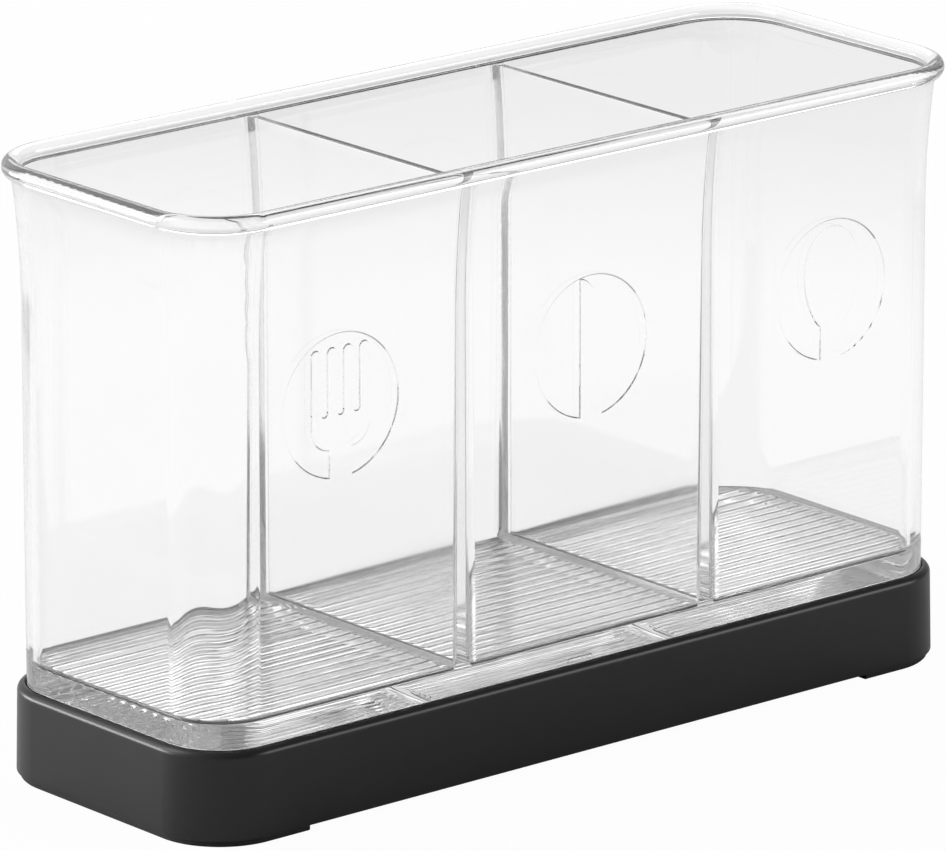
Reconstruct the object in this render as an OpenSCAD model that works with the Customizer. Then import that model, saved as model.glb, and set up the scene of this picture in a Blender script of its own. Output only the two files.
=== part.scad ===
// Countertop cutlery caddy: a clear bin with three upright compartments
// that stands in a dark tray, and lifts out of it.
// Origin: middle of the footprint, on the surface that the caddy stands on.
// X runs along the length, Y from front to back, Z up. Millimetres.

/* [Bin] */
// Length over the bin's straight wall, below the flare
bin_l = 232.8; // [190:0.2:290]
// Width over the bin's straight wall, below the flare
bin_w = 79.7; // [66:0.1:110]
// Corner radius of the bin's wall, outside
bin_r = 15.8; // [12:0.1:24]
// Height of the bin, from its lower edge to the top of its rim
bin_h = 148.2; // [120:0.2:180]
// Thickness of the bin's walls
wall_t = 2.4; // [1.8:0.1:3]
// Height of the skirt, the part of the wall below the floor
skirt_h = 19; // [18:0.2:30]
// Thickness of the floor, without its ribs
floor_t = 5.6; // [3:0.1:7]
// Radius of the round corner between the floor and the wall
floor_fillet = 2; // [1:0.1:3]

/* [Rim] */
// Diameter of the rounded rim
rim_d = 4.5; // [4:0.1:5.6]
// How far the rim stands proud of the wall's inner face
rim_proud = 0.15; // [0.1:0.05:0.4]
// Height over which the wall leans out to the rim
flare_h = 36; // [20:1:60]
// Radius of that lean, seen in section
flare_r = 253; // [150:1:800]

/* [Dividers] */
// Thickness of a divider at its top
divider_top_t = 2; // [1.4:0.1:2.6]
// Thickness of a divider at the floor
divider_foot_t = 3; // [2:0.1:4]
// How far a divider's top lies below the rim's top
divider_drop = 3.8; // [3:0.1:10]
// Radius of the round corner between a divider and the floor
divider_fillet = 2.2; // [1:0.1:3]

/* [Floor ribs] */
// Distance from rib to rib
rib_pitch = 4.1; // [2.4:0.1:5]
// Height of a rib
rib_h = 0.5; // [0.3:0.1:0.8]
// Width of a rib at its foot
rib_w = 1.6; // [1:0.1:2.2]

/* [Medallions] */
// Diameter of the sunk round with a cutlery sign
medal_d = 35.2; // [34:0.2:42]
// Depth of the sunk round
medal_depth = 0.5; // [0.3:0.05:0.8]
// Height of its centre above the bin's lower edge
medal_z = 97.2; // [80:0.2:105]
// Width of a sign's handle
handle_w = 6.6; // [5:0.2:8]
// Number of tines on the fork's sign
tines = 4; // [3:1:4]
// Width of a tine
tine_w = 2.6; // [2:0.1:3]
// Gap between two tines
tine_gap = 2.25; // [1.8:0.05:2.4]
// Height of the tines' tips above the round's centre
tine_up = 14.1; // [12:0.1:15]
// How far the gaps reach below the centre
gap_down = 2.4; // [1:0.1:4]
// How far below the centre the fork's head starts to narrow
crown_down = 4.9; // [4:0.1:6]
// Height of the knife's tip above the centre
knife_up = 16.7; // [14:0.1:17]
// Height of the knife's curved edge, below its tip
edge_h = 15; // [10:0.5:20]
// Height of the spoon's tip above the centre
spoon_up = 15.7; // [14:0.1:16.5]
// Width of the spoon's bowl
bowl_w = 17.2; // [14:0.2:19]
// Height of the spoon's bowl
bowl_h = 26; // [22:0.5:27]
// Share by which the bowl is wider above its middle, and slimmer below
bowl_swell = 0.14; // [0:0.01:0.2]
// How far the spoon's handle runs up into the bowl
bowl_root = 1.6; // [1:0.1:3]

/* [Tray] */
// Clearance between the bin and the tray's lip
bin_gap = 0.3; // [0.2:0.05:0.6]
// Thickness of the lip, which is also its outer rounding
lip_t = 2; // [1.6:0.1:3]
// How far the tray's outer wall leans in, from bottom to top
lean = 0.4; // [0.2:0.1:1]
// Height of the tray, from its underside to the lip
tray_h = 21.8; // [16:0.1:24]
// Thickness of the tray's floor
tray_floor_t = 2.2; // [1.8:0.1:3]
// Rounding of the tray's lower edge
edge_r = 0.4; // [0.3:0.1:0.6]

/* [Nibs] */
// Length of the small nib that shows just above the lip
nib_l = 8; // [5:0.5:12]
// How far a nib stands out of the wall, half its height
nib_r = 0.6; // [0.4:0.05:0.8]
// Distance of a nib from the middle of its side
nib_off = 3.7; // [0:0.1:10]

/* [Feet] */
// Height of the gap under the tray
foot_h = 1.6; // [1:0.1:4]
// Depth of the groove that a foot strip is set into
groove_d = 0.8; // [0.4:0.1:1]
// Clearance of a foot strip in its groove, at each side
groove_gap = 0.1; // [0.05:0.05:0.2]
// Width of a foot strip
foot_w = 7; // [4:0.5:10]
// Inset of a foot strip from the tray's lower edge
foot_inset = 1; // [0.8:0.1:4]
// How far a foot strip reaches along the long side
foot_reach = 31; // [24:0.5:60]

/* [Hidden] */
$fn = 64;
clear_colour = [0.93, 0.95, 0.96, 0.35];
black_colour = [0.07, 0.07, 0.07];
rubber_colour = [0.05, 0.05, 0.05];
// Small overlap of solids that are joined
eps = 0.01;
// How far a solid that trims another reaches past it
over = 1;
// Steps of a small arc, of the long flare and of the spoon's oval
arc_n = 6;
flare_n = 8;
oval_n = 48;

// Levels above the surface that the caddy stands on
tray_z = foot_h;
seat_z = tray_z + tray_floor_t;
lip_z = tray_z + tray_h;

// Levels above the bin's lower edge
floor_z = skirt_h + floor_t;
rim_z = bin_h - rim_d / 2;
flare_z = bin_h - flare_h;
divider_z = bin_h - divider_drop;
nib_z = lip_z - seat_z + nib_r + bin_gap;

// Distance that the wall has leaned out at a level
function flare(z) = z <= flare_z ? 0 : flare_r - sqrt(flare_r * flare_r - (z - flare_z) * (z - flare_z));
rim_x = flare(rim_z) - wall_t - rim_proud + rim_d / 2;
flare_levels = [for (i = [0:flare_n]) flare_z + (rim_z - flare_z) * i / flare_n];

// Compartments of equal length at the dividers' mean thickness
divider_t = (divider_top_t + divider_foot_t) / 2;
inner_l = bin_l - 2 * wall_t;
inner_w = bin_w - 2 * wall_t;
cell_l = (inner_l - 2 * divider_t) / 3;
divider_x = (cell_l + divider_t) / 2;
cell_x = cell_l + divider_t;

// Tray and feet, sized from the bin
tray_grow = bin_gap + lip_t + lean;
tray_l = bin_l + 2 * tray_grow;
tray_w = bin_w + 2 * tray_grow;
tray_r = bin_r + tray_grow;
foot_l = tray_l - 2 * foot_inset;
foot_span_w = tray_w - 2 * foot_inset;
foot_r = tray_r - foot_inset;
// Width of the part of the tray's floor that is swept with its wall
floor_band = tray_r / 2;

// Points of a quarter arc from angle a0 to a1 round a centre
function arc(cx, cy, r, a0, a1) =
    [for (i = [0:arc_n]) let (a = a0 + (a1 - a0) * i / arc_n) [cx + r * cos(a), cy + r * sin(a)]];

// Sweeps a section round a rounded rectangle. In the section, x points out
// of the rectangle's outline and y points up.
module around(l, w, r) {
    for (turn = [0, 180]) {
        rotate(turn) {
            translate([l / 2, 0, 0]) wall_run(w - 2 * r) children();
            translate([0, w / 2, 0]) rotate(90) wall_run(l - 2 * r) children();
            translate([l / 2 - r, w / 2 - r, 0]) corner_run(r) children();
            translate([r - l / 2, w / 2 - r, 0]) rotate(90) corner_run(r) children();
        }
    }
}

module wall_run(run) {
    rotate([90, 0, 0]) linear_extrude(run, center = true) children();
}

module corner_run(r) {
    rotate_extrude(angle = 90) translate([r, 0]) children();
}

// Plate with a rounded rectangle as its outline
module slab(l, w, r, h) {
    around(l, w, r) translate([-r, 0]) square([r, h]);
    translate([r - l / 2, r - w / 2, 0]) cube([l - 2 * r, w - 2 * r, h]);
}

// Section of the bin's wall, with its skirt, flare and the fillet at the floor
module wall_section() {
    outside = [for (z = flare_levels) [flare(z), z]];
    inside = [for (i = [flare_n:-1:0]) [flare(flare_levels[i]) - wall_t, flare_levels[i]]];
    fillet = arc(-wall_t - floor_fillet, floor_z + floor_fillet, floor_fillet, 0, -90);
    under = [[-wall_t - floor_fillet, skirt_h], [-wall_t, skirt_h], [-wall_t, 0]];
    polygon(concat([[0, 0]], outside, inside, fillet, under));
}

module rim_section() {
    translate([rim_x, rim_z]) circle(d = rim_d);
}

// Floor with ribs along its length, cut to the middle of the walls
module ribbed_floor() {
    rib_n = floor((inner_w - rib_w) / rib_pitch / 2);
    ridge = [for (i = [rib_n:-1:-rib_n]) each [
        [i * rib_pitch + rib_w / 2, floor_z],
        [i * rib_pitch, floor_z + rib_h],
        [i * rib_pitch - rib_w / 2, floor_z]
    ]];
    base = [[-bin_w / 2, floor_z], [-bin_w / 2, skirt_h], [bin_w / 2, skirt_h], [bin_w / 2, floor_z]];
    intersection() {
        rotate([90, 0, 90]) linear_extrude(bin_l, center = true) polygon(concat(base, ridge));
        slab(bin_l - wall_t, bin_w - wall_t, bin_r - wall_t / 2, bin_h);
    }
}

// Upright plate that thins towards its top, with a round corner at the floor,
// and ends inside the flared walls
module divider() {
    foot = skirt_h + eps;
    levels = concat([foot], [for (z = flare_levels) if (z < divider_z) z], [divider_z]);
    reach = [for (z = levels) [bin_w / 2 - wall_t / 2 + flare(z), z]];
    other_reach = [for (i = [len(reach) - 1:-1:0]) [-reach[i][0], reach[i][1]]];
    half_foot = divider_foot_t / 2;
    half_top = divider_top_t / 2;
    half_base = half_foot + divider_fillet;
    right_corner = arc(half_base, floor_z + divider_fillet, divider_fillet, 270, 180);
    left_corner = arc(-half_base, floor_z + divider_fillet, divider_fillet, 0, -90);
    plate = concat(right_corner, [[half_top, divider_z], [-half_top, divider_z]], left_corner);
    widest = 2 * half_base + max(0, divider_top_t - divider_foot_t) + 2 * over;
    longest = bin_w + 2 * flare(rim_z) + 2 * over;
    intersection() {
        rotate([90, 0, 90]) linear_extrude(widest, center = true) polygon(concat(reach, other_reach));
        rotate([90, 0, 0]) linear_extrude(longest, center = true)
            polygon(concat([[-half_base, foot], [half_base, foot]], plate));
    }
}

// Signs on the medallions, drawn about the round's centre, and cut off by the round
module handle(top) {
    translate([-handle_w / 2, -medal_d]) square([handle_w, medal_d + top]);
}

module fork_sign() {
    pitch = tine_w + tine_gap;
    head_w = tines * pitch - tine_gap;
    crown_r = (head_w - handle_w) / 2;
    for (i = [0:tines - 1]) translate([i * pitch - head_w / 2, 0]) {
        translate([0, -gap_down]) square([tine_w, tine_up + gap_down - tine_w / 2]);
        translate([tine_w / 2, tine_up - tine_w / 2]) circle(d = tine_w);
    }
    translate([-head_w / 2, -crown_down]) square([head_w, crown_down - gap_down]);
    intersection() {
        for (side = [-1, 1]) translate([side * handle_w / 2, -crown_down]) circle(r = crown_r);
        translate([-head_w / 2, -crown_down - crown_r]) square([head_w, crown_r]);
    }
    handle(-crown_down);
}

module knife_sign() {
    spine_x = -handle_w / 2;
    edge = [for (i = [0:arc_n]) let (a = 90 * i / arc_n)
        [spine_x + handle_w * sin(a), knife_up - edge_h * (1 - cos(a))]];
    polygon(concat([[spine_x, knife_up - edge_h]], edge));
    handle(knife_up - edge_h);
}

module spoon_sign() {
    bowl_z = spoon_up - bowl_h / 2;
    oval = [for (i = [0:oval_n - 1]) let (a = 360 * i / oval_n, swell = 1 + bowl_swell * sin(a))
        [bowl_w / 2 * swell * cos(a), bowl_z + bowl_h / 2 * sin(a)]];
    polygon(oval);
    handle(spoon_up - bowl_h + bowl_root);
}

module medal_cut(x) {
    translate([x, -bin_w / 2 + medal_depth, medal_z]) rotate([90, 0, 0]) linear_extrude(medal_depth + wall_t)
        difference() {
            circle(d = medal_d);
            children();
        }
}

// Small rounded nib on the front wall and, turned round, on the back wall
module nib() {
    translate([-nib_off, -bin_w / 2, nib_z]) rotate([0, 90, 0]) cylinder(r = nib_r, h = nib_l, center = true);
}

module bin() {
    color(clear_colour) translate([0, 0, seat_z]) difference() {
        union() {
            around(bin_l, bin_w, bin_r) union() {
                wall_section();
                rim_section();
            }
            ribbed_floor();
            for (side = [-1, 1]) translate([side * divider_x, 0, 0]) divider();
            for (turn = [0, 180]) rotate(turn) nib();
        }
        medal_cut(-cell_x) fork_sign();
        medal_cut(0) knife_sign();
        medal_cut(cell_x) spoon_sign();
    }
}

// Section of the tray's wall: rounded lower edge, leaning face, round shoulder
module tray_section() {
    lower = arc(-edge_r, edge_r, edge_r, -90, 0);
    shoulder = arc(-lean - lip_t, tray_h - lip_t, lip_t, 0, 90);
    inside = [[-lean - lip_t, tray_floor_t], [-floor_band, tray_floor_t], [-floor_band, 0]];
    polygon(concat(lower, shoulder, inside));
}

// Rounded ring under the tray, cut down to one end's strip
module foot_strip(side, grow, h) {
    reach = foot_reach + grow;
    intersection() {
        around(foot_l + 2 * grow, foot_span_w + 2 * grow, foot_r + grow)
            translate([-foot_w - 2 * grow, 0]) square([foot_w + 2 * grow, h]);
        translate([side * (tray_l / 2 - reach / 2), 0, h / 2]) cube([reach, tray_w, h], center = true);
    }
}

module tray() {
    color(black_colour) translate([0, 0, tray_z]) difference() {
        union() {
            around(tray_l, tray_w, tray_r) tray_section();
            slab(tray_l - 2 * floor_band, tray_w - 2 * floor_band, tray_r - floor_band, tray_floor_t);
        }
        for (side = [-1, 1]) translate([0, 0, -eps]) foot_strip(side, groove_gap, groove_d + eps);
    }
}

module left_foot() {
    color(rubber_colour) foot_strip(-1, 0, foot_h + groove_d);
}

module right_foot() {
    color(rubber_colour) foot_strip(1, 0, foot_h + groove_d);
}

bin();
tray();
left_foot();
right_foot();
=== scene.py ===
# %% [markdown]
# # A clear cutlery caddy in a black tray
# The caddy is two mouldings and its feet: a clear bin with three upright compartments, and
# a satin black tray that the bin stands in. Clear plastic hides nothing, so each wall, rim
# and rib is modelled with its real thickness: what the eye sees is how they bend the light.
# The frame comes first. It holds the measured part, and every piece is made around it.

# %% The frame
import bmesh
import bpy
import math
from mathutils import Matrix, Vector


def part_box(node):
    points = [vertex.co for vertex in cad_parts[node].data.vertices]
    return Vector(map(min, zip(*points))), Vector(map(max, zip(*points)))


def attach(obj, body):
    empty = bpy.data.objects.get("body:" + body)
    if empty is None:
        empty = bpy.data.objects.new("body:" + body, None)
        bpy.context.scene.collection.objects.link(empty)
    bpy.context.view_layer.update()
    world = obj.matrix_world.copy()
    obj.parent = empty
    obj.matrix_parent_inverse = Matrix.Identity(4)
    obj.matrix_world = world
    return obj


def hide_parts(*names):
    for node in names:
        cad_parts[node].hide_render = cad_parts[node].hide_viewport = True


MM = 0.001
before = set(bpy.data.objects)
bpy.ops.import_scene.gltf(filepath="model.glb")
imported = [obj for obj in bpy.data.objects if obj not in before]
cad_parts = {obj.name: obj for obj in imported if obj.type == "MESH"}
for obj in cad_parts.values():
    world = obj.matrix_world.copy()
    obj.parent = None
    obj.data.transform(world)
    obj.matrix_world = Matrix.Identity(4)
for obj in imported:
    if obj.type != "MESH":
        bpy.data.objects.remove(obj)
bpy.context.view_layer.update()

# %% [markdown]
# ## The camera
# A long lens from two metres away keeps the caddy's edges almost parallel, as catalogue
# pictures do. Its place is worked out from the angles round the object, not set by eye.

# %% The camera
FRAME_W_PX = 946
FOCAL_PX = 9543.8
SENSOR_MM = 36.0
AZIMUTH = math.radians(-40.292)
ELEVATION = math.radians(16.419)
ROLL = math.radians(-0.054)
DISTANCE = 2292.9 * MM
AIM = Vector((0.0, 0.0, 75.0)) * MM
AIM_RIGHT = -2.215 * MM
AIM_UP = -2.434 * MM
FAR_CLIP = 20.0

towards = Vector((
    math.sin(AZIMUTH) * math.cos(ELEVATION),
    -math.cos(AZIMUTH) * math.cos(ELEVATION),
    math.sin(ELEVATION)))
level = Vector((math.cos(AZIMUTH), math.sin(AZIMUTH), 0.0))
upright = towards.cross(level)
rolled_right = level * math.cos(ROLL) + upright * math.sin(ROLL)
rolled_up = upright * math.cos(ROLL) - level * math.sin(ROLL)
turn = Matrix((rolled_right, rolled_up, towards)).transposed()
place = AIM + level * AIM_RIGHT + upright * AIM_UP + towards * DISTANCE

bpy.ops.object.camera_add(location=place, rotation=turn.to_euler())
camera = bpy.context.object
camera.name = "camera"
camera.data.sensor_fit = "HORIZONTAL"
camera.data.sensor_width = SENSOR_MM
camera.data.lens = SENSOR_MM * FOCAL_PX / FRAME_W_PX
camera.data.clip_end = FAR_CLIP
bpy.context.scene.camera = camera
print("lens", round(camera.data.lens, 1), "mm at", tuple(round(c, 3) for c in place))

# %% [markdown]
# ## Turning a section and pulling it apart
# The bin, the tray and the feet all have a rounded rectangle as their outline. One way is to
# bevel a box. Here the wall's section is drawn once and turned round the Z axis, like a pot on
# a wheel, and the four quarters of the pot are then pulled apart. The corners stay true arcs,
# the flat sides are single faces, and any wall section can be used.

# %% Helpers for working in edit mode
TURN_STEPS = 144
NEAR = 1e-6


def start_piece(add, name, **size):
    """Adds a primitive with nothing else selected, and goes into edit mode with it"""
    bpy.ops.object.select_all(action="DESELECT")
    add(**size)
    piece = bpy.context.object
    piece.name = name
    bpy.ops.object.mode_set(mode="EDIT")
    bpy.ops.mesh.select_mode(type="VERT")
    bpy.ops.mesh.select_all(action="SELECT")
    return piece


def pick(test):
    """Selects the points that pass a test on their place"""
    bpy.ops.mesh.select_mode(type="VERT")
    bpy.ops.mesh.select_all(action="DESELECT")
    mesh = bmesh.from_edit_mesh(bpy.context.object.data)
    for point in mesh.verts:
        point.select = test(point.co)
    mesh.select_flush_mode()


def pick_edges(test):
    """Selects the edges whose two ends pass a test"""
    bpy.ops.mesh.select_mode(type="EDGE")
    bpy.ops.mesh.select_all(action="DESELECT")
    mesh = bmesh.from_edit_mesh(bpy.context.object.data)
    for edge in mesh.edges:
        edge.select = test(edge.verts[0].co, edge.verts[1].co)
    mesh.select_flush_mode()


def cut_across(axis, at):
    """Cuts the whole piece with a plane square to an axis"""
    co, normal = [0.0, 0.0, 0.0], [0.0, 0.0, 0.0]
    co["xyz".index(axis)] = at
    normal["xyz".index(axis)] = 1.0
    bpy.ops.mesh.select_all(action="SELECT")
    bpy.ops.mesh.bisect(plane_co=co, plane_no=normal)


def draw_line(name, points, closed=False):
    """Draws a line point by point, each pulled out of the last"""
    piece = start_piece(bpy.ops.mesh.primitive_plane_add, name, size=MM)
    bpy.ops.mesh.merge(type="CENTER")
    bpy.ops.transform.translate(value=points[0])
    for here, there in zip(points, points[1:]):
        bpy.ops.mesh.extrude_vertices_move(TRANSFORM_OT_translate={"value": there - here})
    if closed:
        pick(lambda co: (co - points[0]).length < NEAR or (co - points[-1]).length < NEAR)
        bpy.ops.mesh.edge_face_add()
    return piece


def turn_and_pull(name, section, length, width, radius, closed=False):
    """Turns a section of (outward, up) points round Z and pulls the quarters apart. Millimetres"""
    half_step = math.pi / TURN_STEPS
    ray = Vector((math.cos(half_step), math.sin(half_step), 0.0))
    line = [(ray * (radius + out) + Vector((0.0, 0.0, up))) * MM for out, up in section]
    piece = draw_line(name, line, closed)
    bpy.ops.mesh.select_all(action="SELECT")
    bpy.ops.mesh.spin(steps=TURN_STEPS, angle=math.tau, center=(0, 0, 0), axis=(0, 0, 1))
    bpy.ops.mesh.select_all(action="SELECT")
    bpy.ops.mesh.remove_doubles(threshold=NEAR)
    pull = Vector((length / 2 - radius, width / 2 - radius, 0.0)) * MM
    for side_x in (-1, 1):
        for side_y in (-1, 1):
            pick(lambda co: co.x * side_x > 0 and co.y * side_y > 0)
            bpy.ops.transform.translate(value=(side_x * pull.x, side_y * pull.y, 0.0))
    return piece


def close_loop(up):
    """Closes the open loop of edges at a level with one face"""
    pick(lambda co: abs(co.z - up * MM) < NEAR)
    bpy.ops.mesh.edge_face_add()


def face_outwards():
    bpy.ops.mesh.select_all(action="SELECT")
    bpy.ops.mesh.normals_make_consistent(inside=False)
    bpy.ops.object.mode_set(mode="OBJECT")


def combine(piece, tool, operation):
    """Joins a second solid to a piece or cuts it away, and removes it"""
    bpy.context.view_layer.objects.active = piece
    bpy.ops.object.modifier_add(type="BOOLEAN")
    step = piece.modifiers[-1]
    step.operation = operation
    step.object = tool
    step.solver = "EXACT"
    bpy.ops.object.modifier_apply(modifier=step.name)
    bpy.data.objects.remove(tool)


def smooth(piece, angle):
    """Smooth shading with crisp edges, and large faces that keep their own direction"""
    bpy.ops.object.select_all(action="DESELECT")
    piece.select_set(True)
    bpy.context.view_layer.objects.active = piece
    bpy.ops.object.shade_smooth_by_angle(angle=math.radians(angle))
    bpy.ops.object.modifier_add(type="WEIGHTED_NORMAL")
    piece.modifiers[-1].keep_sharp = True
    bpy.ops.object.modifier_apply(modifier=piece.modifiers[-1].name)


def arc(centre_out, centre_up, radius, start, end, steps):
    """Points of an arc in a section, angles in degrees"""
    angles = [math.radians(start + (end - start) * i / steps) for i in range(steps + 1)]
    return [(centre_out + radius * math.cos(a), centre_up + radius * math.sin(a)) for a in angles]


def open_edges(piece):
    """Counts the edges that don't join exactly two faces"""
    mesh = bmesh.new()
    mesh.from_mesh(piece.data)
    count = sum(not edge.is_manifold for edge in mesh.edges)
    mesh.free()
    return count


# %% [markdown]
# ## The bin's shell
# The bin is one injection moulding. Its wall stands straight from the skirt up and leans out
# over its upper third, up to a solid round rim. The floor sits a little above the tray, on
# fillets. The section below goes from the floor up the inside, round the rim and down the
# outside to the skirt, so the turned shell is closed but for the floor's two faces.

# %% The bin's sizes
BIN_L, BIN_W, BIN_R = 232.8, 79.7, 15.8
BIN_H = 148.2
WALL = 2.4
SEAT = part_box("bin")[0].z / MM
SKIRT = 19.0
FLOOR = 5.6
FLOOR_FILLET = 2.0
UNDER_FILLET = 0.25
EDGE_BREAK = 0.4
RIM_D = 4.5
RIM_PROUD = 0.15
FLARE_H = 36.0
FLARE_R = 253.0
FLARE_STEPS = 10
RIM_STEPS = 36
FLOOR_STEPS, UNDER_STEPS = 6, 4

floor_up = SEAT + SKIRT + FLOOR
under_up = SEAT + SKIRT
top_up = SEAT + BIN_H
flare_up = top_up - FLARE_H
rim_r = RIM_D / 2
rim_up = top_up - rim_r
inner_l, inner_w = BIN_L - 2 * WALL, BIN_W - 2 * WALL
print("bin:", SEAT, "to", top_up, "mm high, floor at", floor_up)


def lean_out(up):
    """How far the wall has leaned out at a level"""
    over = max(0.0, up - flare_up)
    return FLARE_R - math.sqrt(FLARE_R ** 2 - over ** 2)


# %% The bin's shell
rim_out = lean_out(rim_up) - WALL - RIM_PROUD + rim_r
rim_inside = 360.0 - math.degrees(math.acos((RIM_PROUD - rim_r) / rim_r))
rim_outside = -math.degrees(math.acos((WALL + RIM_PROUD - rim_r) / rim_r))
rim = arc(rim_out, rim_up, rim_r, rim_inside, rim_outside, RIM_STEPS)
rim_foot = rim[0][1]
wall_levels = [flare_up + (rim_foot - flare_up) * i / FLARE_STEPS for i in range(FLARE_STEPS)]

floor_corner = arc(
    -WALL - FLOOR_FILLET, floor_up + FLOOR_FILLET, FLOOR_FILLET, -90, 0, FLOOR_STEPS)
inside = [(lean_out(up) - WALL, up) for up in wall_levels]
outside = [(lean_out(up), up) for up in reversed(wall_levels)]
skirt = [
    (0.0, SEAT + EDGE_BREAK), (-EDGE_BREAK, SEAT),
    (EDGE_BREAK - WALL, SEAT), (-WALL, SEAT + EDGE_BREAK)]
under_corner = arc(
    -WALL - UNDER_FILLET, under_up - UNDER_FILLET, UNDER_FILLET, 0, 90, UNDER_STEPS)

section = floor_corner + inside + rim + outside + skirt + under_corner
bin_piece = turn_and_pull("clear_bin", section, BIN_L, BIN_W, BIN_R)
close_loop(under_up)
close_loop(floor_up)
print("shell:", len(bin_piece.data.vertices), "points")

# %% [markdown]
# ## Thicker corners
# A clear corner works as a lens, so its thickness decides how it bends the lines of the floor.
# A mould's inner corner is seldom the exact offset of the outer one. Here the inner points are
# moved in by almost half a millimetre at mid-corner, and the extra fades out towards the rim.

# %% Thicker corners
BULGE = 0.45
BULGE_FROM, BULGE_TO = math.radians(10.0), math.radians(80.0)

mesh = bmesh.from_edit_mesh(bin_piece.data)
for point in mesh.verts:
    up = point.co.z / MM
    out = Vector((abs(point.co.x) - BIN_L / 2 * MM, abs(point.co.y) - BIN_W / 2 * MM)) / MM
    out += Vector((BIN_R, BIN_R))
    if up < floor_up - NEAR or out.length > BIN_R + lean_out(up) - WALL / 2:
        continue
    along = (math.atan2(out.y, out.x) - BULGE_FROM) / (BULGE_TO - BULGE_FROM)
    if 0.0 < along < 1.0:
        inwards = out.normalized() * BULGE * 0.5 * (1.0 - math.cos(math.tau * along))
        inwards *= 1.0 - min(1.0, max(0.0, (up - flare_up) / (rim_foot - flare_up)))
        point.co.x -= math.copysign(inwards.x, point.co.x) * MM
        point.co.y -= math.copysign(inwards.y, point.co.y) * MM
bmesh.update_edit_mesh(bin_piece.data)
print("corners:", WALL + BULGE, "mm thick at the floor")

# %% [markdown]
# ## The ribbed floor
# Fine ribs run along the floor, so that wet cutlery stands off it. They could be a bump in the
# material, but through clear plastic they are seen as lenses, so they are real waves: the
# floor's face is inset, cut into strips, and lifted along a cosine.

# %% The ribbed floor
RIB_PITCH = 4.1
RIB_H = 0.5
RIB_STEPS = 8
RIB_MARGIN = 1.0

bpy.ops.mesh.inset(thickness=RIB_MARGIN * MM, depth=0.0)
rib_reach = inner_w / 2 - FLOOR_FILLET - RIB_MARGIN
line_count = int(rib_reach / RIB_PITCH * RIB_STEPS)


def is_floor(face):
    """True for the flat faces on the floor's upper side"""
    return abs(face.calc_center_median().z - floor_up * MM) < NEAR


def rib_wave(across):
    """Height of the ribs at a distance from the middle"""
    return RIB_H * (0.5 + 0.5 * math.cos(math.tau * across / RIB_PITCH))


for k in range(-line_count, line_count + 1):
    bpy.ops.mesh.select_mode(type="FACE")
    bpy.ops.mesh.select_all(action="DESELECT")
    mesh = bmesh.from_edit_mesh(bin_piece.data)
    for face in mesh.faces:
        face.select = is_floor(face)
    bpy.ops.mesh.bisect(plane_co=(0, k * RIB_PITCH / RIB_STEPS * MM, 0), plane_no=(0, 1, 0))

mesh = bmesh.from_edit_mesh(bin_piece.data)
floor_points = {point for face in mesh.faces if is_floor(face) for point in face.verts}
ribbed = [point for point in floor_points if all(is_floor(face) for face in point.link_faces)]
for point in ribbed:
    point.co.z += rib_wave(point.co.y / MM) * MM
bpy.ops.mesh.select_all(action="SELECT")
bpy.ops.mesh.quads_convert_to_tris()
print("ribbed floor:", len(ribbed), "points lifted")
face_outwards()

# %% [markdown]
# ## The dividers
# Two upright plates part the bin in three. They are moulded with the walls, so they thicken
# towards the floor and meet the walls in fillets. A box is cut into bands; the bands near its
# ends are widened along an arc, its upper bands follow the wall's lean, and each level is
# drawn in a little, as the draft of a mould does.

# %% The dividers
DIVIDER_TOP, DIVIDER_FOOT = 2.0, 3.0
DIVIDER_DROP = 3.8
DIVIDER_FILLET = 2.5
FOOT_FILLET = 2.2
FILLET_STEPS = 6
FILLET_END = 80.0
DIVIDER_EDGE = 0.25

divider_mean = (DIVIDER_TOP + DIVIDER_FOOT) / 2
cell_l = (inner_l - 2 * divider_mean) / 3
divider_x = (cell_l + divider_mean) / 2
divider_top = top_up - DIVIDER_DROP
divider_low = floor_up - FLOOR / 2
divider_h = divider_top - divider_low
divider_reach = inner_w / 2 + WALL / 2


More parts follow.
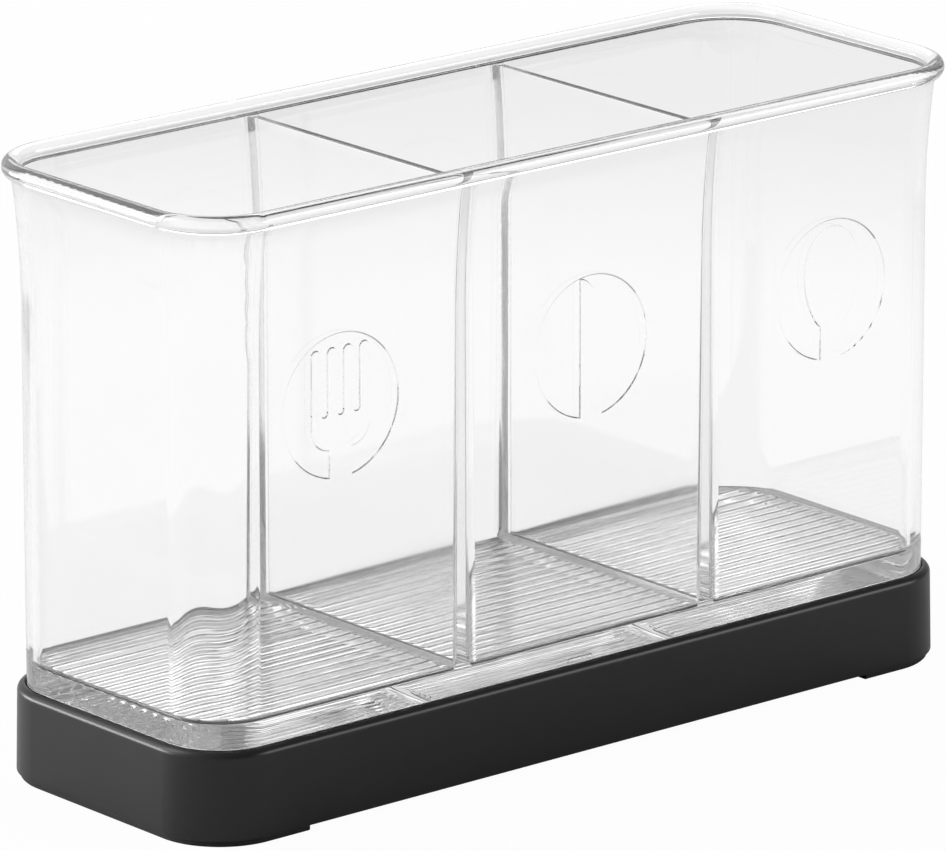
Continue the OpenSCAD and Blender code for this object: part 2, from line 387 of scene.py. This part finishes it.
def make_divider(name, x):
    piece = start_piece(bpy.ops.mesh.primitive_cube_add, name, size=MM)
    bpy.ops.transform.resize(value=(DIVIDER_FOOT, 2 * divider_reach, divider_h))
    bpy.ops.transform.translate(value=Vector((x, 0, divider_low + divider_h / 2)) * MM)

    fillet = [math.radians(FILLET_END * i / FILLET_STEPS) for i in range(FILLET_STEPS + 1)]
    rise = [(1 - math.sin(a), 1 - math.cos(a)) for a in fillet]
    wall_bands = [(inner_w / 2 - DIVIDER_FILLET * up, DIVIDER_FILLET * wider) for up, wider in rise]
    foot_bands = [(floor_up + FOOT_FILLET * up, FOOT_FILLET * wider) for up, wider in rise]
    levels = [up for up in wall_levels if up < divider_top] + [divider_top]
    for up in [up for up, _ in foot_bands] + levels[:-1]:
        cut_across("z", up * MM)
    for across, _ in wall_bands:
        for side in (-1, 1):
            cut_across("y", side * across * MM)
    wall_bands.append((divider_reach, wall_bands[-1][1]))
    foot_bands.append((divider_low, foot_bands[-1][1]))
    for side in (-1, 1):
        for across, wider in wall_bands:
            pick(lambda co: abs(abs(co.y) - across * MM) < NEAR and (co.x - x * MM) * side > 0)
            bpy.ops.transform.translate(value=(side * wider * MM, 0, 0))
        for up, wider in foot_bands:
            pick(lambda co: abs(co.z - up * MM) < NEAR and (co.x - x * MM) * side > 0)
            bpy.ops.transform.translate(value=(side * wider * MM, 0, 0))

    bend_from = inner_w / 2 - DIVIDER_FILLET
    for up in levels:
        slim = 1 + (DIVIDER_TOP / DIVIDER_FOOT - 1) * (up - divider_low) / divider_h
        pick(lambda co: abs(co.z - up * MM) < NEAR)
        bpy.ops.transform.resize(value=(slim, 1, 1), center_override=(x * MM, 0, up * MM))
        for side in (-1, 1):
            pick(lambda co: abs(co.z - up * MM) < NEAR and co.y * side > bend_from * MM - NEAR)
            bpy.ops.transform.translate(value=(0, side * lean_out(up) * MM, 0))

    pick_edges(lambda a, b: (
        min(a.z, b.z) > divider_top * MM - NEAR and (a.x - x * MM) * (b.x - x * MM) > 0))
    bpy.ops.mesh.bevel(offset=DIVIDER_EDGE * MM, segments=3, affect="EDGES")
    bpy.ops.mesh.select_all(action="SELECT")
    bpy.ops.mesh.quads_convert_to_tris()
    face_outwards()
    return piece


for side in (-1, 1):
    combine(bin_piece, make_divider("divider", side * divider_x), "UNION")
print("with dividers:", len(bin_piece.data.polygons), "faces,", open_edges(bin_piece), "open edges")

# %% [markdown]
# ## The sunk medallions
# Each compartment has a sunk round on its front with a fork, a knife or a spoon left standing
# in it. Only the slope between the two levels bends the light, so that slope is what shows: a
# thin line along the round and the sign. A bump in the material would not bend what lies behind,
# so the recess is cut. Each cutter is one outline, the round with the sign bitten out of it, drawn
# a little smaller at the bottom of the recess.

# %% The signs' outlines
MEDAL_D = 35.2
MEDAL_UP = SEAT + 97.2
MEDAL_DEPTH = 0.22
MEDAL_SLOPE = 0.31
HANDLE_W = 6.6
TINES, TINE_W, TINE_GAP = 4, 2.6, 2.25
TINE_UP, GAP_DOWN, CROWN_DOWN = 14.1, 2.4, 4.9
KNIFE_UP, KNIFE_EDGE = 16.7, 15.0
SPOON_UP, BOWL_W, BOWL_H, BOWL_SWELL = 15.7, 17.2, 26.0, 0.14
CUTTER_OUT = 1.2
TINE_STEPS, GAP_STEPS, EDGE_STEPS, BOWL_STEPS, ROUND_STEPS = 8, 6, 16, 40, 72
HALVINGS = 40


def fork_outline(grow):
    """The fork's head, from the left of its handle round to the right"""
    pitch = TINE_W + TINE_GAP
    head = TINES * pitch - TINE_GAP
    crown = (head - HANDLE_W) / 2 + grow
    start = math.degrees(math.asin(grow / crown))
    points = arc(-HANDLE_W / 2, -CROWN_DOWN, crown, -90 - start, -180, TINE_STEPS)
    for i in range(TINES):
        middle = -head / 2 + TINE_W / 2 + i * pitch
        points += arc(middle, TINE_UP - TINE_W / 2, TINE_W / 2 + grow, 180, 0, TINE_STEPS)
        if i < TINES - 1:
            half_gap, gap_low = TINE_GAP / 2 - grow, TINE_GAP / 2 - GAP_DOWN
            points += arc(middle + pitch / 2, gap_low, half_gap, -180, 0, GAP_STEPS)
    return points + arc(HANDLE_W / 2, -CROWN_DOWN, crown, 0, start - 90, TINE_STEPS)


def knife_outline(grow):
    """The knife's blade: a straight back on the left and a curved edge on the right"""
    back = -HANDLE_W / 2 - grow
    width = HANDLE_W + 2 * grow
    high = KNIFE_EDGE + grow
    edge = []
    for i in range(1, EDGE_STEPS + 1):
        a = math.radians(90 * i / EDGE_STEPS)
        edge.append((back + width * math.sin(a), KNIFE_UP - KNIFE_EDGE + high * math.cos(a)))
    return [(back, KNIFE_UP + grow)] + edge


def spoon_outline(grow):
    """The spoon's bowl, an oval that is wider above its middle"""
    half_w, half_h = BOWL_W / 2 + grow, BOWL_H / 2 + grow

    def at(a):
        return (half_w * (1 + BOWL_SWELL * math.sin(a)) * math.cos(a),
                SPOON_UP - BOWL_H / 2 + half_h * math.sin(a))

    # Halving finds the angle at which the bowl is as wide as the handle
    low, high = -math.pi / 2, 0.0
    for _ in range(HALVINGS):
        middle = (low + high) / 2
        low, high = (low, middle) if at(middle)[0] > HANDLE_W / 2 + grow else (middle, high)
    sweep = 2 * low - math.pi
    return [at(math.pi - low + sweep * i / BOWL_STEPS) for i in range(BOWL_STEPS + 1)]


def recess_outline(sign, slope):
    """A round with a sign bitten out of it, open at the sign's handle"""
    radius = MEDAL_D / 2 - slope
    half_handle = HANDLE_W / 2 + slope
    opening = math.degrees(math.asin(half_handle / radius))
    return arc(0.0, 0.0, radius, opening - 90, 270 - opening, ROUND_STEPS) + sign(slope)


# %% The sunk medallions
def make_cutter(name, x, sign):
    top, bottom = recess_outline(sign, 0.0), recess_outline(sign, MEDAL_SLOPE)
    front = -BIN_W / 2 - CUTTER_OUT
    piece = start_piece(
        bpy.ops.mesh.primitive_circle_add, name, vertices=len(top), fill_type="NGON")
    mesh = bmesh.from_edit_mesh(piece.data)
    for point, (out, up) in zip(mesh.verts, top):
        point.co = Vector((x + out, front, MEDAL_UP + up)) * MM
    bmesh.update_edit_mesh(piece.data)
    for depth in (CUTTER_OUT, MEDAL_DEPTH):
        bpy.ops.mesh.extrude_region_move(TRANSFORM_OT_translate={"value": (0, depth * MM, 0)})
    mesh = bmesh.from_edit_mesh(piece.data)
    for point in [v for v in mesh.verts if v.select]:
        here = Vector((point.co.x / MM - x, point.co.z / MM - MEDAL_UP))
        nearest = min(range(len(top)), key=lambda i: (here - Vector(top[i])).length)
        point.co.x = (x + bottom[nearest][0]) * MM
        point.co.z = (MEDAL_UP + bottom[nearest][1]) * MM
    bmesh.update_edit_mesh(piece.data)
    face_outwards()
    return piece


cell_x = cell_l + divider_mean
for x, sign in ((-cell_x, fork_outline), (0.0, knife_outline), (cell_x, spoon_outline)):
    combine(bin_piece, make_cutter("cutter", x, sign), "DIFFERENCE")
print("with signs:", len(bin_piece.data.polygons), "faces,", open_edges(bin_piece), "open edges")

# %% [markdown]
# ## The nibs
# A small nib low on each long wall shows just above the tray's lip. It could be pulled out of the
# wall's face, but that face is one large polygon, so it is a round bar with softened ends, joined
# to the wall with half of it sunk in.

# %% The nibs
NIB_L, NIB_R, NIB_OFF = 8.0, 0.6, 3.7
NIB_ABOVE_LIP = 0.3
NIB_SIDES = 24
NIB_END = 0.4
BIN_CREASE = 32
nib_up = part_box("tray")[1].z / MM + NIB_R + NIB_ABOVE_LIP


def make_nib(name, side):
    piece = start_piece(
        bpy.ops.mesh.primitive_cylinder_add, name,
        vertices=NIB_SIDES, radius=NIB_R * MM, depth=NIB_L * MM)
    bpy.ops.transform.rotate(value=math.pi / 2, orient_axis="Y", center_override=(0, 0, 0))
    bpy.ops.transform.translate(value=Vector((side * NIB_OFF, side * BIN_W / 2, nib_up)) * MM)
    ends = [(side * NIB_OFF + end * NIB_L / 2) * MM for end in (-1, 1)]
    pick_edges(lambda a, b: any(abs(a.x - e) < NEAR and abs(b.x - e) < NEAR for e in ends))
    bpy.ops.mesh.bevel(offset=NIB_END * MM, segments=4, affect="EDGES")
    face_outwards()
    return piece


for side in (-1, 1):
    combine(bin_piece, make_nib("nib", side), "UNION")
smooth(bin_piece, BIN_CREASE)
print("bin:", len(bin_piece.data.polygons), "faces,", open_edges(bin_piece), "open edges")

# %% [markdown]
# ## The tray
# The tray is a shallow moulding with an outer wall that leans in a little, a round shoulder
# and a rounded lower edge. A bevelled box would do for it, but turned and pulled as the bin is,
# its corners keep the same centres as the bin's, and the gap between the two stays even.

# %% The tray
TRAY_L, TRAY_W, TRAY_R = 238.2, 85.1, 18.5
TRAY_H = 21.8
TRAY_FLOOR = 2.2
LIP = 2.0
LEAN = 0.4
LOWER_EDGE = 0.4
LIP_EDGE = 0.3
SHOULDER_START = 82
SHOULDER_STEPS, LOWER_STEPS = 10, 6
TRAY_CREASE = 40
tray_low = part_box("tray")[0].z / MM

shoulder = arc(-LEAN - LIP, tray_low + TRAY_H - LIP, LIP, SHOULDER_START, 0, SHOULDER_STEPS)
lower = arc(-LOWER_EDGE, tray_low + LOWER_EDGE, LOWER_EDGE, 0, -90, LOWER_STEPS)
lip_inside = -LEAN - LIP
tray_inside = [(lip_inside, tray_low + TRAY_FLOOR), (lip_inside, tray_low + TRAY_H - LIP_EDGE)]
section = tray_inside + shoulder + lower
tray_piece = turn_and_pull("black_tray", section, TRAY_L, TRAY_W, TRAY_R)
close_loop(tray_low + TRAY_FLOOR)
close_loop(tray_low)
face_outwards()
print("tray:", len(tray_piece.data.polygons), "faces,", open_edges(tray_piece), "open edges")

# %% [markdown]
# ## The foot strips
# Two C-shaped strips lift the tray off the worktop, one under each end. A ring is turned and
# pulled, then cut off so that only one end of it is left. The same shape, a little larger,
# cuts its groove in the tray.

# %% The foot strips
FOOT_L, FOOT_W, FOOT_R = 236.2, 83.1, 17.5
FOOT_STRIP = 7.0
FOOT_REACH = 31.0
FOOT_EDGE = 0.35
GROOVE = 0.8
GROOVE_GAP = 0.1


def make_strip(name, side, grow, edge):
    low, high = 0.0, tray_low + GROOVE
    outer, inner = grow, -FOOT_STRIP - grow
    section = [
        (inner, high), (inner, low + edge), (inner + edge, low),
        (outer - edge, low), (outer, low + edge), (outer, high)]
    piece = turn_and_pull(name, section, FOOT_L, FOOT_W, FOOT_R, closed=True)
    cut = side * (TRAY_L / 2 - FOOT_REACH - grow) * MM
    bpy.ops.mesh.select_all(action="SELECT")
    bpy.ops.mesh.bisect(
        plane_co=(cut, 0, 0), plane_no=(side, 0, 0), use_fill=True, clear_inner=True)
    face_outwards()
    return piece


feet = {}
for name, side in (("left_foot", -1), ("right_foot", 1)):
    combine(tray_piece, make_strip("groove", side, GROOVE_GAP, 0.0), "DIFFERENCE")
    feet[name] = make_strip(name + "_strip", side, 0.0, FOOT_EDGE)
    smooth(feet[name], TRAY_CREASE)
smooth(tray_piece, TRAY_CREASE)
print("grooved tray:", open_edges(tray_piece), "open edges")
print("feet:", [open_edges(foot) for foot in feet.values()], "open edges")

# %% [markdown]
# ## Finishes
# Each finish starts from the real material. Colours are written as sRGB hex values, as a
# picture editor shows them, and turned to the linear values that light is reckoned in.

# %% Helpers for materials
def linear(hex_colour):
    """Linear RGBA of an sRGB hex colour"""
    shares = [int(hex_colour[i:i + 2], 16) / 255 for i in (1, 3, 5)]
    light = [c / 12.92 if c <= 0.04045 else ((c + 0.055) / 1.055) ** 2.4 for c in shares]
    return (*light, 1.0)


def add_node(tree, kind, inputs=None, **settings):
    """Adds a node with its settings; an input is a value, or an output that is linked to it"""
    node = tree.nodes.new(kind)
    for name, value in settings.items():
        setattr(node, name, value)
    for name, value in (inputs or {}).items():
        if isinstance(value, bpy.types.NodeSocket):
            tree.links.new(value, node.inputs[name])
        else:
            node.inputs[name].default_value = value
    return node


def new_finish(name):
    """An empty node material and its output"""
    finish = bpy.data.materials.new(name)
    finish.use_nodes = True
    finish.node_tree.nodes.clear()
    return finish, finish.node_tree, finish.node_tree.nodes.new("ShaderNodeOutputMaterial")


def per_mm(size):
    """Noise scale that gives features of a size in millimetres"""
    return 1.0 / (size * MM)


# %% [markdown]
# ## Clear styrene
# Clear housewares are mostly styrene, poured into a polished mould. It bends light more than
# acrylic does, and the eye knows it by bright lines at every edge. A glass shader would give the
# surface alone. Here the Principled shader lets the light in, and a volume takes a little of it on
# the way, so that only long ways through the plastic turn grey.

# %% Clear styrene
DEPTH_TONE = "#dcdcdc"
DEPTH_DENSITY = 3.0
DRAWN_ROUGH = 0.05
DRAWN_FROM, DRAWN_TO = 1.6, 3.2


def clear_styrene():
    """Polished clear styrene: sharp reflections, a faint flow from moulding, grey in long depths"""
    finish, tree, output = new_finish("clear_styrene")
    where = add_node(tree, "ShaderNodeTexCoord")
    flow = add_node(tree, "ShaderNodeTexNoise", {
        "Vector": where.outputs["Object"], "Scale": per_mm(30.0), "Detail": 1.0})
    ripple = add_node(tree, "ShaderNodeBump", {
        "Height": flow.outputs["Fac"], "Strength": 0.06, "Distance": 0.5 * MM})
    handled = add_node(tree, "ShaderNodeTexNoise", {
        "Vector": where.outputs["Object"], "Scale": per_mm(14.0), "Detail": 3.0})
    haze = add_node(tree, "ShaderNodeMapRange", {
        "Value": handled.outputs["Fac"], "From Min": 0.4, "From Max": 0.8,
        "To Min": 0.0, "To Max": 0.03})
    # The dividers keep fine draw marks from the mould, which soften the light that runs in them
    across = add_node(tree, "ShaderNodeSeparateXYZ", {"Vector": where.outputs["Object"]})
    apart = add_node(tree, "ShaderNodeMath", {0: across.outputs["X"]}, operation="ABSOLUTE")
    apart = add_node(tree, "ShaderNodeMath", {
        0: apart.outputs[0], 1: divider_x * MM}, operation="SUBTRACT")
    apart = add_node(tree, "ShaderNodeMath", {0: apart.outputs[0]}, operation="ABSOLUTE")
    drawn = add_node(tree, "ShaderNodeMapRange", {
        "Value": apart.outputs[0], "From Min": DRAWN_FROM * MM, "From Max": DRAWN_TO * MM,
        "To Min": DRAWN_ROUGH, "To Max": 0.0})
    rough = add_node(tree, "ShaderNodeMath", {
        0: haze.outputs["Result"], 1: drawn.outputs["Result"]}, operation="ADD")
    shell = add_node(tree, "ShaderNodeBsdfPrincipled", {
        "Base Color": linear("#ffffff"), "Roughness": rough.outputs[0], "IOR": 1.59,
        "Transmission Weight": 1.0, "Normal": ripple.outputs["Normal"]})
    depth = add_node(tree, "ShaderNodeVolumeAbsorption", {
        "Color": linear(DEPTH_TONE), "Density": DEPTH_DENSITY})
    tree.links.new(shell.outputs["BSDF"], output.inputs["Surface"])
    tree.links.new(depth.outputs["Volume"], output.inputs["Volume"])
    return finish


# %% [markdown]
# ## Satin black plastic and rubber
# The tray is black ABS from a finely textured mould. One flat black would look like a hole in the
# picture, so its sheen and its tone vary a little over a few centimetres. The foot strips are matt
# rubber, with a coarser grain and hardly any sheen.

# %% Satin black plastic and rubber
def satin_black():
    """Black ABS from a fine-textured mould: deep black with a soft, slightly uneven sheen"""
    finish, tree, output = new_finish("satin_black")
    where = add_node(tree, "ShaderNodeTexCoord")
    grain = add_node(tree, "ShaderNodeTexNoise", {
        "Vector": where.outputs["Object"], "Scale": per_mm(0.5), "Detail": 2.0})
    cloud = add_node(tree, "ShaderNodeTexNoise", {
        "Vector": where.outputs["Object"], "Scale": per_mm(18.0), "Detail": 3.0})
    texture = add_node(tree, "ShaderNodeBump", {
        "Height": grain.outputs["Fac"], "Strength": 0.08, "Distance": 0.1 * MM})
    sheen = add_node(tree, "ShaderNodeMapRange", {
        "Value": cloud.outputs["Fac"], "To Min": 0.30, "To Max": 0.38})
    tone = add_node(tree, "ShaderNodeMix", {
        "Factor": cloud.outputs["Fac"], "A": linear("#0e0e0e"), "B": linear("#121212")},
        data_type="RGBA")
    shell = add_node(tree, "ShaderNodeBsdfPrincipled", {
        "Base Color": tone.outputs["Result"], "Roughness": sheen.outputs["Result"],
        "IOR": 1.53, "Normal": texture.outputs["Normal"]})
    tree.links.new(shell.outputs["BSDF"], output.inputs["Surface"])
    return finish


def foot_rubber():
    """Matt black rubber with a fine grain"""
    finish, tree, output = new_finish("foot_rubber")
    where = add_node(tree, "ShaderNodeTexCoord")
    grain = add_node(tree, "ShaderNodeTexNoise", {
        "Vector": where.outputs["Object"], "Scale": per_mm(0.6), "Detail": 3.0})
    texture = add_node(tree, "ShaderNodeBump", {
        "Height": grain.outputs["Fac"], "Strength": 0.3, "Distance": 0.1 * MM})
    tone = add_node(tree, "ShaderNodeMix", {
        "Factor": grain.outputs["Fac"], "A": linear("#0f0f0f"), "B": linear("#1c1c1c")},
        data_type="RGBA")
    shell = add_node(tree, "ShaderNodeBsdfPrincipled", {
        "Base Color": tone.outputs["Result"], "Roughness": 0.75, "IOR": 1.52,
        "Normal": texture.outputs["Normal"]})
    tree.links.new(shell.outputs["BSDF"], output.inputs["Surface"])
    return finish


# %% [markdown]
# ## Dressing the pieces
# Each piece gets its finish and takes the place of its measured node: it rides on that node's
# body, so the bin lifts out of the tray and the foot strips stay with it.

# %% Dressing the pieces
def dress(piece, finish, body, node):
    piece.data.materials.clear()
    piece.data.materials.append(finish)
    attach(piece, body)
    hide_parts(node)


dress(bin_piece, clear_styrene(), "bin", "bin")
dress(tray_piece, satin_black(), "tray", "tray")
rubber = foot_rubber()
for node, strip in feet.items():
    dress(strip, rubber, "tray", node)
print("dressed:", bin_piece.name, tray_piece.name, [strip.name for strip in feet.values()])

# %% [markdown]
# ## The studio
# The caddy stands on a pale floor in soft light, and the camera sees floor and backdrop as white.
# Black plastic is shaped by what it mirrors, so the sky is bright behind the caddy and dim towards
# the camera. Clear plastic is shaped by what it lets through: there the floor is a shade darker
# further off and the sky is darker overhead, and that draws the edges of the rim and the ribs.

# %% The floor
FLOOR_SIZE = 6.0
FLOOR_WHITE = 0.97
FLOOR_TONE = "#d8d8d8"
FLOOR_NEAR, FLOOR_FAR = 0.99, 0.86
FALL_FROM, FALL_TO = 0.36, 0.60

bpy.ops.object.select_all(action="DESELECT")
bpy.ops.mesh.primitive_plane_add(size=FLOOR_SIZE)
floor_piece = bpy.context.object
floor_piece.name = "studio_floor"

pale, tree, output = new_finish("pale_floor")
rays = add_node(tree, "ShaderNodeLightPath")
seen = add_node(tree, "ShaderNodeMath", {
    0: rays.outputs["Is Camera Ray"], 1: FLOOR_WHITE}, operation="MULTIPLY")
seen = add_node(tree, "ShaderNodeMath", {
    0: seen.outputs[0], 1: rays.outputs["Is Transmission Ray"]}, operation="MAXIMUM")
where = add_node(tree, "ShaderNodeTexCoord")
away = add_node(tree, "ShaderNodeVectorMath", {0: where.outputs["Object"]}, operation="LENGTH")
fall = add_node(tree, "ShaderNodeMapRange", {
    "Value": away.outputs["Value"], "From Min": FALL_FROM, "From Max": FALL_TO,
    "To Min": FLOOR_NEAR, "To Max": FLOOR_FAR}, interpolation_type="SMOOTHSTEP")
glow = add_node(tree, "ShaderNodeMix", {
    "Factor": rays.outputs["Is Transmission Ray"], "A": 1.0, "B": fall.outputs["Result"]},
    data_type="FLOAT")
matt = add_node(tree, "ShaderNodeBsdfDiffuse", {"Color": linear(FLOOR_TONE)})
white = add_node(tree, "ShaderNodeEmission", {
    "Color": linear("#ffffff"), "Strength": glow.outputs["Result"]})
mixed = add_node(tree, "ShaderNodeMixShader", {
    0: seen.outputs[0], 1: matt.outputs["BSDF"], 2: white.outputs["Emission"]})
tree.links.new(mixed.outputs["Shader"], output.inputs["Surface"])
floor_piece.data.materials.append(pale)
print("floor:", FLOOR_SIZE, "m wide, seen as", FLOOR_WHITE, "white")

# %% The sky
DOME_LIT, DOME_SHADE = 1.0, 0.15
DOME_GLOSS = 0.8
DOME_TOP = 0.4
DOME_FROM, DOME_TO = 0.45, 0.85
BRIGHT_SIDE = (-0.5, 0.87, 0.0)
SIDE_REACH = 0.8

world = bpy.data.worlds.new("studio")
bpy.context.scene.world = world
world.use_nodes = True
tree = world.node_tree
tree.nodes.clear()
output = tree.nodes.new("ShaderNodeOutputWorld")
rays = add_node(tree, "ShaderNodeLightPath")
where = add_node(tree, "ShaderNodeTexCoord")
height = add_node(tree, "ShaderNodeSeparateXYZ", {"Vector": where.outputs["Generated"]})
dome = add_node(tree, "ShaderNodeMapRange", {
    "Value": height.outputs["Z"], "From Min": DOME_FROM, "From Max": DOME_TO,
    "To Min": 1.0, "To Max": DOME_TOP}, interpolation_type="SMOOTHSTEP")
back_side = add_node(tree, "ShaderNodeVectorMath", {
    0: where.outputs["Generated"], 1: BRIGHT_SIDE}, operation="DOT_PRODUCT")
lit = add_node(tree, "ShaderNodeMapRange", {
    "Value": back_side.outputs["Value"], "From Min": -SIDE_REACH, "From Max": SIDE_REACH,
    "To Min": DOME_SHADE, "To Max": DOME_LIT})
dim = add_node(tree, "ShaderNodeMath", {
    0: lit.outputs["Result"], 1: DOME_GLOSS}, operation="MULTIPLY")
level_of = lit
for ray, level_there in (
        ("Is Transmission Ray", dome.outputs["Result"]), ("Is Glossy Ray", dim.outputs[0]),
        ("Is Camera Ray", 1.0)):
    level_of = add_node(tree, "ShaderNodeMix", {
        "Factor": rays.outputs[ray], "A": level_of.outputs["Result"], "B": level_there},
        data_type="FLOAT")
sky = add_node(tree, "ShaderNodeBackground", {
    "Color": linear("#ffffff"), "Strength": level_of.outputs["Result"]})
tree.links.new(sky.outputs["Background"], output.inputs["Surface"])
print("sky:", DOME_SHADE, "to", DOME_LIT, "towards", BRIGHT_SIDE)

# %% [markdown]
# ## The lamps
# A key lamp at the back left makes the soft shadow. The back lamp also shows through the plastic,
# where the ribs catch it. Two low strips draw the bright lines along the tray's shoulder.

# %% The lamps
KEY_POWER = 10.0
BACK_POWER = 4.5
LEFT_STRIP = 8.0
RIGHT_STRIP = 3.6
LAMP_AIM = Vector((0.0, 0.0, 0.07))


def add_lamp(name, place, size, power, tall=None, through=False):
    """A soft lamp that faces the caddy, and shows through the plastic if asked to"""
    place = Vector(place)
    bpy.ops.object.light_add(type="AREA", location=place)
    lamp = bpy.context.object
    lamp.name = name
    lamp.data.size = size
    if tall:
        lamp.data.shape = "RECTANGLE"
        lamp.data.size_y = tall
    lamp.data.energy = power
    lamp.visible_transmission = through
    lamp.rotation_euler = (place - LAMP_AIM).to_track_quat("Z", "Y").to_euler()
    print("lamp:", name, power, "W")


add_lamp("key", (-1.2, 0.9, 1.2), 1.0, KEY_POWER)
add_lamp("back", (0.76, 0.90, 0.95), 0.9, BACK_POWER, through=True)
add_lamp("left_strip", (-0.75, 0.89, 0.13), 0.8, LEFT_STRIP, 0.22)
add_lamp("right_strip", (0.75, -0.89, 0.33), 0.8, RIGHT_STRIP, 0.35)

# %% [markdown]
# ## How far light is followed
# Light that is caught in clear plastic is mirrored many times before it leaves. With Blender's
# usual limit those paths would end too soon and leave black bands in the rim and the floor.

# %% The paths of light
BOUNCES = 200
paths = bpy.context.scene.cycles
paths.max_bounces = BOUNCES
paths.glossy_bounces = BOUNCES
paths.transmission_bounces = BOUNCES
bpy.context.scene.view_settings.view_transform = "Standard"
print("bounces:", BOUNCES)
